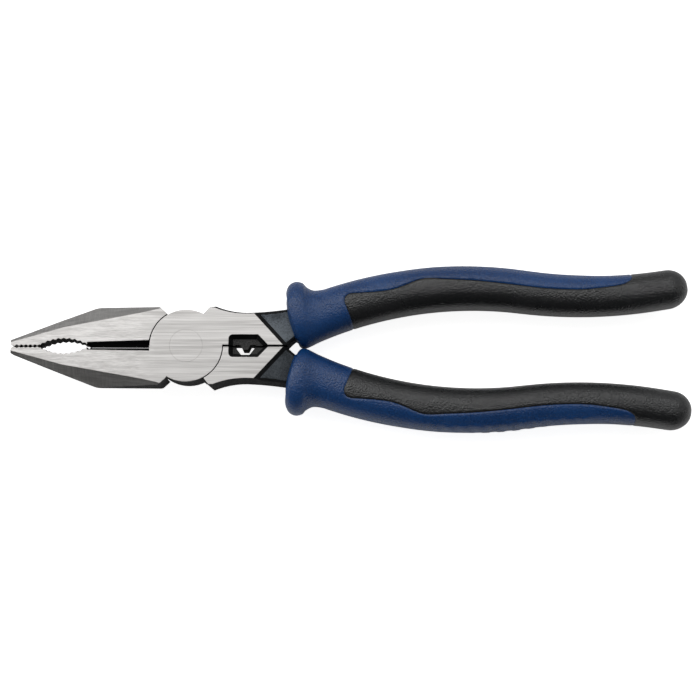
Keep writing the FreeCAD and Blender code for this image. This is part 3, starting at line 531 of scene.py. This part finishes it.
def ring(row, square):
    """One closed section of the grip, from the outer side over the top."""
    outer, inner = np.array(row[0:2]), np.array(row[2:4])
    angles = np.linspace(0, 2 * math.pi, AROUND, endpoint=False)
    c, s = np.cos(angles), np.sin(angles)
    across = np.sign(c) * np.abs(c) ** (2 / square)
    rise = np.sign(s) * np.abs(s) ** (2 / square)
    middle, half = (outer + inner) / 2, (outer - inner) / 2
    flat = middle + across[:, None] * half
    flat[:, 0] -= row[5] * (1 - across**2)
    flat[:, 1] = np.maximum(flat[:, 1], TOUCH)
    return np.column_stack([flat, rise * row[4]])


def grip_surface():
    """Matching rings of points on the grip's outside and on the hole inside it."""
    profile = handle_profile()
    outside = [ring(row, GRIP_SQUARE) for row in smooth_curve(profile, PER_SPAN)]
    inside = [ring(row, HOLE_SQUARE) for row in smooth_curve(tang_profile(profile), PER_SPAN)]
    hole, rim = ring(HOLE, HOLE_SQUARE), outside[0]
    push = np.array([cosine(BEND_HEADING), sine(BEND_HEADING), 0.0]) * FRONT_PUSH
    front, front_inside = [], []
    for share in FRONT_SHARES:
        step = hole * (1 - share) + rim * share
        step[:, 0] -= FRONT_DISH * math.sin(math.pi * share ** 0.7)
        front.append(step)
        front_inside.append(hole * (1 - share * 0.5) + inside[0] * share * 0.5
                            + push * (1 - share))
    return np.array(front + outside), np.array(front_inside + inside)


def surface_normals(rings):
    forward = np.gradient(rings, axis=0)
    round_about = (np.roll(rings, -1, axis=1) - np.roll(rings, 1, axis=1)) / 2
    normal = np.cross(round_about, forward)
    length = np.linalg.norm(normal, axis=2, keepdims=True)
    return normal / np.maximum(length, 1e-9)


# ------------------------------------------- where the blue sleeve meets the core

# Where the black core comes to the surface, seen from above, from the inner side of
# the neck along the boundary with the blue sleeve to the end cap.
CORE_EDGE = (
    (57.0, -3.0), (54.4, 3.0), (52.4, 8.0), (50.9, 11.8), (50.1, 14.0), (50.5, 15.9),
    (52.2, 16.75), (55.5, 16.95), (60.0, 17.25), (64.5, 17.85), (68.5, 19.15), (71.8, 20.6),
    (74.4, 21.55), (77.2, 21.85), (82.0, 21.6), (92.0, 21.05), (103.0, 19.9), (113.0, 18.75),
    (121.0, 18.35), (127.0, 18.45), (134.1, 19.35), (137.2, 19.9), (139.2, 20.45), (140.6, 21.3),
    (141.5, 22.3), (141.9, 24.5), (142.0, 32.0),
)
EDGE_PER_SPAN = 10
EDGE_GAP = 0.03                       # half the hairline between the two materials
GROOVE, GROOVE_REACH = 0.22, 0.26     # the moulded groove along that line
GROOVE_LINES = (EDGE_GAP, 0.12, 0.3, 0.6)    # points are added this far from the line


def core_depth(xy):
    """Signed distance from the boundary in the plane: positive where the core is."""
    line = smooth_curve(CORE_EDGE, EDGE_PER_SPAN)
    best = np.full(len(xy), np.inf)
    sign = np.ones(len(xy))
    for start, step in zip(line[:-1], np.diff(line, axis=0)):
        offset = xy - start
        t = np.clip(offset @ step / (step @ step), 0, 1)
        gap = offset - t[:, None] * step
        distance = np.hypot(gap[:, 0], gap[:, 1])
        near = distance < best
        best = np.where(near, distance, best)
        side = step[0] * offset[:, 1] - step[1] * offset[:, 0]
        sign = np.where(near, np.where(side < 0, 1.0, -1.0), sign)
    return best * sign


def ease(value, low, high):
    """A smooth step from 0 at low to 1 at high."""
    t = np.clip((value - low) / (high - low), 0, 1)
    return t * t * (3 - 2 * t)


# The raised band on the back of the sleeve: where it fades in and out along X, the
# middle and the fading of its width (as the upward share of the normal), its height.
PAD_X = ((66, 80), (136, 124))
PAD_MIDDLE, PAD_FADE, PAD_HEIGHT = -0.15, (0.66, 0.50), 0.16
# The ribs on its lower part, in the same terms.
RIBS_X = ((77, 80), (128, 125))
RIBS_MIDDLE, RIBS_FADE, RIB_HEIGHT = -0.36, 0.05, 0.22
RIBS_HALF, RIBS_SWELL, SWELL_X = 0.28, 0.14, (77, 127)
RIB_PITCH, RIB_SLANT, RIB_SOFT = 4.75, 0.5, 0.35
BACK_FADE = (0.0, 0.4)                # of the outward share of the normal
CLEAR_OF_CORE = (-0.5, -1.5)          # the ribs fade in this far from the core


def rib_height(points, normals):
    """A raised band along the back of the sleeve, with low slanted ribs on its lower part."""
    x, z = points[:, 0], points[:, 2]
    outward, upward = normals[:, 1], normals[:, 2]
    swell = np.sin(math.pi * np.clip((x - SWELL_X[0]) / (SWELL_X[1] - SWELL_X[0]), 0, 1)) ** 2
    half = RIBS_HALF + RIBS_SWELL * swell
    wave = np.cos(2 * math.pi * (x - RIB_SLANT * z) / RIB_PITCH)
    pad = ease(np.abs(upward - PAD_MIDDLE), *PAD_FADE) * ease(x, *PAD_X[0]) * ease(x, *PAD_X[1])
    ribbed = ease(np.abs(upward - RIBS_MIDDLE), half + RIBS_FADE, half - RIBS_FADE)
    bars = ease(wave, -RIB_SOFT, RIB_SOFT) * ease(x, *RIBS_X[0]) * ease(x, *RIBS_X[1])
    return ease(outward, *BACK_FADE) * (pad * PAD_HEIGHT + ribbed * bars * RIB_HEIGHT)


class Patchwork:
    """Polygons over shared points that can be split along level lines of a value.

    Each point's row holds its place, its normal, its partner inside and the value.
    """

    def __init__(self, rows, faces):
        self.data = [tuple(row) for row in rows]
        self.faces = faces

    def split(self, level):
        cuts = {}
        faces = []
        for face in self.faces:
            values = [self.data[i][-1] - level for i in face]
            if min(values) >= 0 or max(values) <= 0:
                faces.append(face)
                continue
            above, below = [], []
            for i, j, vi, vj in zip(face, face[1:] + face[:1], values, values[1:] + values[:1]):
                if vi >= 0:
                    above.append(i)
                if vi <= 0:
                    below.append(i)
                if vi * vj < 0:
                    new = self.cut(cuts, i, j, vi / (vi - vj), level)
                    above.append(new)
                    below.append(new)
            faces.extend(part for part in (above, below) if len(part) > 2)
        self.faces = faces

    def cut(self, cuts, i, j, share, level):
        """The point on the edge from i to j where the value is level."""
        key = (min(i, j), max(i, j))
        if key not in cuts:
            row = [a + (b - a) * share for a, b in zip(self.data[i], self.data[j])]
            row[-1] = level
            cuts[key] = len(self.data)
            self.data.append(tuple(row))
        return cuts[key]

    def keep(self, wanted):
        """Rows and faces of the part where wanted(value) holds."""
        rows = np.array(self.data)
        faces = [f for f in self.faces if wanted(np.mean([rows[i, -1] for i in f]))]
        used = sorted({i for f in faces for i in f})
        renumber = {old: new for new, old in enumerate(used)}
        return rows[used], [[renumber[i] for i in f] for f in faces]


def grip_patchwork():
    """The whole grip's outside, with points along the line where the materials meet."""
    outside, inside = grip_surface()
    normals = surface_normals(outside).reshape(-1, 3)
    rows, around = outside.shape[:2]
    points = outside.reshape(-1, 3)
    depth = core_depth(points[:, :2])
    rib = rib_height(points, normals) * ease(depth, *CLEAR_OF_CORE)
    points = points + normals * rib[:, None]
    faces = []
    for i in range(rows - 1):
        for j in range(around):
            k = (j + 1) % around
            a, b = i * around, (i + 1) * around
            faces.append([a + j, b + j, b + k, a + k])
    faces.append([(rows - 1) * around + j for j in range(around)])
    table = np.column_stack([points, normals, inside.reshape(-1, 3), depth])
    patchwork = Patchwork(table, faces)
    for line in [-line for line in reversed(GROOVE_LINES)] + list(GROOVE_LINES):
        patchwork.split(line)
    return patchwork


# ----------------------------------------------------------- the grips' pieces

SHARP_ANGLE = math.radians(50)


def closed_body(name, rows, faces, turn, material):
    """The outside, the hole inside, and the walls that join their rims."""
    groove = GROOVE * np.exp(-(np.abs(rows[:, -1]) / GROOVE_REACH) ** 2)
    outer = (rows[:, :3] - rows[:, 3:6] * groove[:, None]) * turn
    inner = rows[:, 6:9] * turn
    count = len(rows)
    edges = {(i, j) for face in faces for i, j in zip(face, face[1:] + face[:1])}
    everything = list(faces)
    everything += [[i + count for i in reversed(face)] for face in faces]
    everything += [[j, i, i + count, j + count] for i, j in sorted(edges) if (j, i) not in edges]
    lift = np.array([0, 0, MIDDLE])
    mesh = bpy.data.meshes.new(name)
    mesh.from_pydata(((np.vstack([outer, inner]) + lift) * MM).tolist(), [], everything)
    mesh.update()
    mesh.shade_smooth()
    mesh.set_sharp_from_angle(angle=SHARP_ANGLE)
    mesh.materials.append(material)
    return add_object(name, mesh)


def make_grips():
    patchwork = grip_patchwork()
    blue, black = blue_vinyl(), black_vinyl()
    parts = {
        "grip_core": (lambda depth: depth > EDGE_GAP, black, "black_grip"),
        "grip_sleeve": (lambda depth: depth < -EDGE_GAP, blue, "blue_grip"),
    }
    sides = {"upper": (1, "indenter_side"), "lower": (-1, "nest_side")}
    for part, (wanted, material, slot) in parts.items():
        rows, faces = patchwork.keep(wanted)
        for side, (flip, body) in sides.items():
            node = f"{part}_{side}"
            piece = closed_body(f"{node}_skin", rows, faces, np.array([1, flip, flip]), material)
            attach(piece, body)
            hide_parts(node)


# ----------------------------------------------------------------------- stage

FLOOR_HALF = 3.0                  # metres
FLOOR_DROP = 0.2                  # millimetres under the tool
FLOOR_GLOW = (0.08, 0.88)         # for the light on the tool, for the camera

LIGHT_LEAN = math.radians(24)     # from overhead towards +Y
BROAD_FOCUS, BROAD_LIGHT = 4.0, 0.26
STRIP_FOCUS, STRIP_LIGHT = 42.0, 2.0
TOWARDS_NOSE = 0.8                # how much brighter the overhead light is at the nose's end
SIDE_LIGHT, END_LIGHT, ROOM_LIGHT = 0.34, 0.17, 0.03
NEARLY_ONE = 1.001                # keeps the strip's width from reaching zero

TILT, ROLL = math.radians(8.5), math.radians(0.19)
AIM = (51.877, -0.39)             # millimetres, in the middle plane
DISTANCE = 0.462                  # metres
LENS, SENSOR = 74.25, 36.0
CLIP = (0.01, 20.0)


def floor():
    """A pale floor just under the tool, bright enough to read as white.

    It shines for the camera only, so that it hardly lights the tool from below.
    """
    s = Shader("pale_floor")
    colour = s.mix(s.ramp(s.noise(3.0, 2.0), 0.3, 0.7), grey(0.90), grey(0.92))
    seen = s.node("ShaderNodeLightPath").outputs["Is Camera Ray"]
    material = s.finish(
        Base_Color=colour, Roughness=0.9, Specular_IOR_Level=0.0,
        Emission_Color=grey(1.0), Emission_Strength=s.ramp(seen, 0.0, 1.0, *FLOOR_GLOW),
    )
    low = CAD_BOX[0].z - FLOOR_DROP * MM
    signs = ((-1, -1), (1, -1), (1, 1), (-1, 1))
    mesh = bpy.data.meshes.new("floor")
    mesh.from_pydata([(i * FLOOR_HALF, j * FLOOR_HALF, low) for i, j in signs], [], [(0, 1, 2, 3)])
    mesh.materials.append(material)
    add_object("floor", mesh)


def studio():
    """A dim room with a soft strip light overhead, along X and leaning towards +Y."""
    sky = NodeTree(bpy.data.worlds.new("studio"))
    direction = sky.node("ShaderNodeTexCoord").outputs["Generated"]
    run = sky.dot(direction, (1, 0, 0))
    to_side = sky.larger(sky.dot(direction, (0, 1, 0)), 0.0)
    lean = (0, math.sin(LIGHT_LEAN), math.cos(LIGHT_LEAN))
    overhead = sky.larger(sky.dot(direction, lean), 0.0)
    width = sky.math("SQRT", sky.minus(NEARLY_ONE, sky.times(run, run)))
    strip = sky.math("POWER", sky.math("DIVIDE", overhead, width), STRIP_FOCUS)
    broad = sky.math("POWER", overhead, BROAD_FOCUS)
    top = sky.plus(sky.times(strip, STRIP_LIGHT), sky.times(broad, BROAD_LIGHT))
    fading = sky.minus(1.0, sky.times(run, TOWARDS_NOSE))
    around = sky.plus(sky.times(to_side, SIDE_LIGHT), sky.times(sky.size(run), END_LIGHT))
    level = sky.plus(sky.times(top, fading), around)
    background = sky.tree.nodes["Background"]
    sky.feed(background.inputs["Color"], grey(1.0))
    sky.feed(background.inputs["Strength"], sky.plus(level, ROOM_LIGHT))
    bpy.context.scene.world = sky.owner


def camera():
    """Almost straight down, tilted towards the lower jaw's side."""
    aim = Vector((AIM[0], AIM[1], MIDDLE)) * MM
    view = Vector((0, math.sin(TILT), -math.cos(TILT)))
    up = Vector((0, math.cos(TILT), math.sin(TILT)))
    right = Vector((1, 0, 0))
    rolled_right = right * math.cos(ROLL) + up * math.sin(ROLL)
    rolled_up = up * math.cos(ROLL) - right * math.sin(ROLL)
    turn = Matrix((rolled_right, rolled_up, -view)).transposed().to_4x4()
    data = bpy.data.cameras.new("camera")
    data.sensor_width = SENSOR
    data.lens = LENS
    data.clip_start, data.clip_end = CLIP
    eye = add_object("camera", data)
    eye.matrix_world = Matrix.Translation(aim - view * DISTANCE) @ turn
    bpy.context.scene.camera = eye


# ------------------------------------------------------------------------ main

bpy.context.scene.view_settings.view_transform = "Standard"
finish_forgings()
make_grips()
floor()
studio()
camera()
